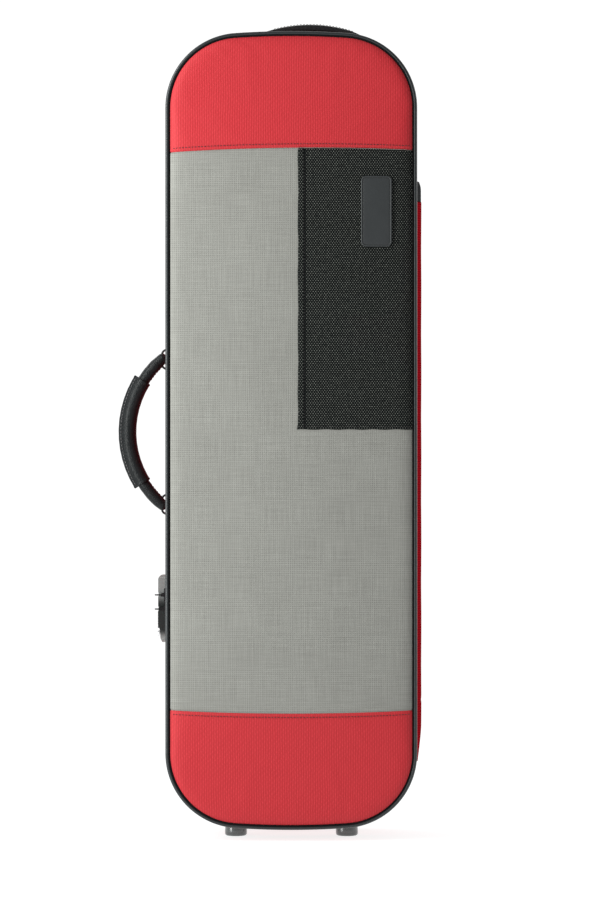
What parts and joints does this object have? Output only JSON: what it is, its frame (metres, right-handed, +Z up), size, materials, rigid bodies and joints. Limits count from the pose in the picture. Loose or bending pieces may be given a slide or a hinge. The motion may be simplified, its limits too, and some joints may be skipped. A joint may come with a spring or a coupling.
{
  "type": "violin case",
  "caption": "Oblong zipped violin case in grey canvas and red nylon, standing on its feet, with a side handle and a combination lock.",
  "frame": {"origin": "centre of the bounding box at floor level, on the resting faces of the feet", "axes": "+Z up along the case's length, -Y out of the front panel (lid), -X towards the side handle and lock"},
  "size_m": [0.2948, 0.1559, 0.8073],
  "materials": {
    "core_wood": "matte",
    "side_fabric": "matte",
    "back_fabric": "matte",
    "grey_canvas": "matte",
    "red_nylon": "satin",
    "spine_fabric": "satin",
    "black_mesh": "matte",
    "velvet": "matte",
    "webbing": "matte",
    "zip_fabric": "satin",
    "piping_vinyl": "satin",
    "leather": "satin",
    "badge_rubber": "satin",
    "foot_rubber": "satin",
    "black_metal": "satin",
    "lock_body": "satin",
    "satin_metal": "satin",
    "chrome": "polished",
    "wheel_plastic": "satin",
    "black_plastic": "satin"
  },
  "bodies": {
    "base": {"base_core": "core_wood", "base_cover": "side_fabric", "back_panel": "back_fabric", "back_piping": "piping_vinyl", "base_lining": "velvet", "body_cradle": "velvet", "neck_cradle": "velvet", "neck_strap": "webbing", "accessory_box": "velvet", "hinge_base_leaves": "satin_metal", "hinge_pins": "satin_metal", "spine_base_band": "spine_fabric", "spine_end_tab": "leather", "zip_base_half": "zip_fabric", "lock_plate": "satin_metal", "lock_housing": "lock_body", "lock_axle": "chrome", "handle_bails": "black_metal", "top_handle": "webbing", "top_handle_caps": "leather", "feet": "foot_rubber", "music_pocket": "back_fabric", "pocket_zip": "zip_fabric", "d_ring_tabs": "webbing"},
    "lid": {"lid_core": "core_wood", "lid_cover": "side_fabric", "front_centre_panel": "grey_canvas", "front_end_panels": "red_nylon", "mesh_patch": "black_mesh", "badge_plate": "badge_rubber", "front_piping": "piping_vinyl", "lid_lining": "velvet", "hinge_lid_leaves": "satin_metal", "spine_lid_band": "spine_fabric", "zip_lid_half": "zip_fabric", "bow_spinner_bases": "black_plastic", "bow_tip_pockets": "velvet"},
    "handle": {"handle_strap": "leather", "handle_grip": "leather"},
    "upper_slider": {"zip_slider_upper": "black_metal"},
    "upper_pull": {"zip_pull_upper": "black_metal"},
    "lower_slider": {"zip_slider_lower": "black_metal"},
    "lower_pull": {"zip_pull_lower": "black_metal"},
    "wheel_1": {"lock_wheel_1": "wheel_plastic"},
    "wheel_2": {"lock_wheel_2": "wheel_plastic"},
    "wheel_3": {"lock_wheel_3": "wheel_plastic"},
    "release": {"lock_release": "chrome"},
    "left_spinner": {"bow_spinner_1": "black_plastic"},
    "right_spinner": {"bow_spinner_2": "black_plastic"},
    "pocket_slider": {"pocket_slider": "black_metal"},
    "pocket_pull": {"pocket_pull": "black_metal"},
    "upper_left_ring": {"d_ring_1": "satin_metal"},
    "upper_right_ring": {"d_ring_2": "satin_metal"},
    "lower_left_ring": {"d_ring_3": "satin_metal"},
    "lower_right_ring": {"d_ring_4": "satin_metal"}
  },
  "joints": [
    {"name": "lid_hinge", "type": "hinge", "parent": "base", "child": "lid", "pos_m": [0.14465, -0.02715, 0.351], "axis": [0, 0, 1], "range_deg": [0, 105]},
    {"name": "handle_swing", "type": "hinge", "parent": "base", "child": "handle", "pos_m": [-0.1082, -0.00515, 0.4], "axis": [0, 0, 1], "range_deg": [-75, 75]},
    {"name": "upper_zip_slide", "type": "slide", "parent": "base", "child": "upper_slider", "axis": [0, 0, 1], "range_m": [0, 0.46]},
    {"name": "upper_pull_turn", "type": "hinge", "parent": "upper_slider", "child": "upper_pull", "pos_m": [-0.107, -0.02715, 0.239], "axis": [0, 1, 0], "range_deg": [0, 80]},
    {"name": "lower_zip_slide", "type": "slide", "parent": "base", "child": "lower_slider", "axis": [0, 0, -1], "range_m": [0, 0.13]},
    {"name": "lower_pull_turn", "type": "hinge", "parent": "lower_slider", "child": "lower_pull", "pos_m": [-0.107, -0.02715, 0.225], "axis": [0, -1, 0], "range_deg": [0, 80]},
    {"name": "wheel_1_turn", "type": "hinge", "parent": "base", "child": "wheel_1", "pos_m": [-0.1078, -0.00515, 0.2079], "axis": [0, 0, 1], "continuous": true},
    {"name": "wheel_2_turn", "type": "hinge", "parent": "base", "child": "wheel_2", "pos_m": [-0.1078, -0.00515, 0.2135], "axis": [0, 0, 1], "continuous": true},
    {"name": "wheel_3_turn", "type": "hinge", "parent": "base", "child": "wheel_3", "pos_m": [-0.1078, -0.00515, 0.2191], "axis": [0, 0, 1], "continuous": true},
    {"name": "release_slide", "type": "slide", "parent": "base", "child": "release", "axis": [0, 0, -1], "range_m": [0, 0.003], "stiffness_N_per_m": 60},
    {"name": "left_spinner_turn", "type": "hinge", "parent": "lid", "child": "left_spinner", "pos_m": [-0.0597, -0.04715, 0.15], "axis": [0, 1, 0], "range_deg": [0, 90]},
    {"name": "right_spinner_turn", "type": "hinge", "parent": "lid", "child": "right_spinner", "pos_m": [0.1003, -0.04715, 0.15], "axis": [0, 1, 0], "range_deg": [0, 90]},
    {"name": "pocket_zip_slide", "type": "slide", "parent": "base", "child": "pocket_slider", "axis": [1, 0, 0], "range_m": [0, 0.112]},
    {"name": "pocket_pull_turn", "type": "hinge", "parent": "pocket_slider", "child": "pocket_pull", "pos_m": [-0.0337, 0.07615, 0.646], "axis": [0, 0, 1], "range_deg": [0, 160]},
    {"name": "upper_left_ring_swing", "type": "hinge", "parent": "base", "child": "upper_left_ring", "pos_m": [-0.0357, 0.06455, 0.736], "axis": [1, 0, 0], "range_deg": [0, 150]},
    {"name": "upper_right_ring_swing", "type": "hinge", "parent": "base", "child": "upper_right_ring", "pos_m": [0.0763, 0.06455, 0.736], "axis": [1, 0, 0], "range_deg": [0, 150]},
    {"name": "lower_left_ring_swing", "type": "hinge", "parent": "base", "child": "lower_left_ring", "pos_m": [-0.0497, 0.06455, 0.062], "axis": [1, 0, 0], "range_deg": [0, 150]},
    {"name": "lower_right_ring_swing", "type": "hinge", "parent": "base", "child": "lower_right_ring", "pos_m": [0.0903, 0.06455, 0.062], "axis": [1, 0, 0], "range_deg": [0, 150]}
  ]
}
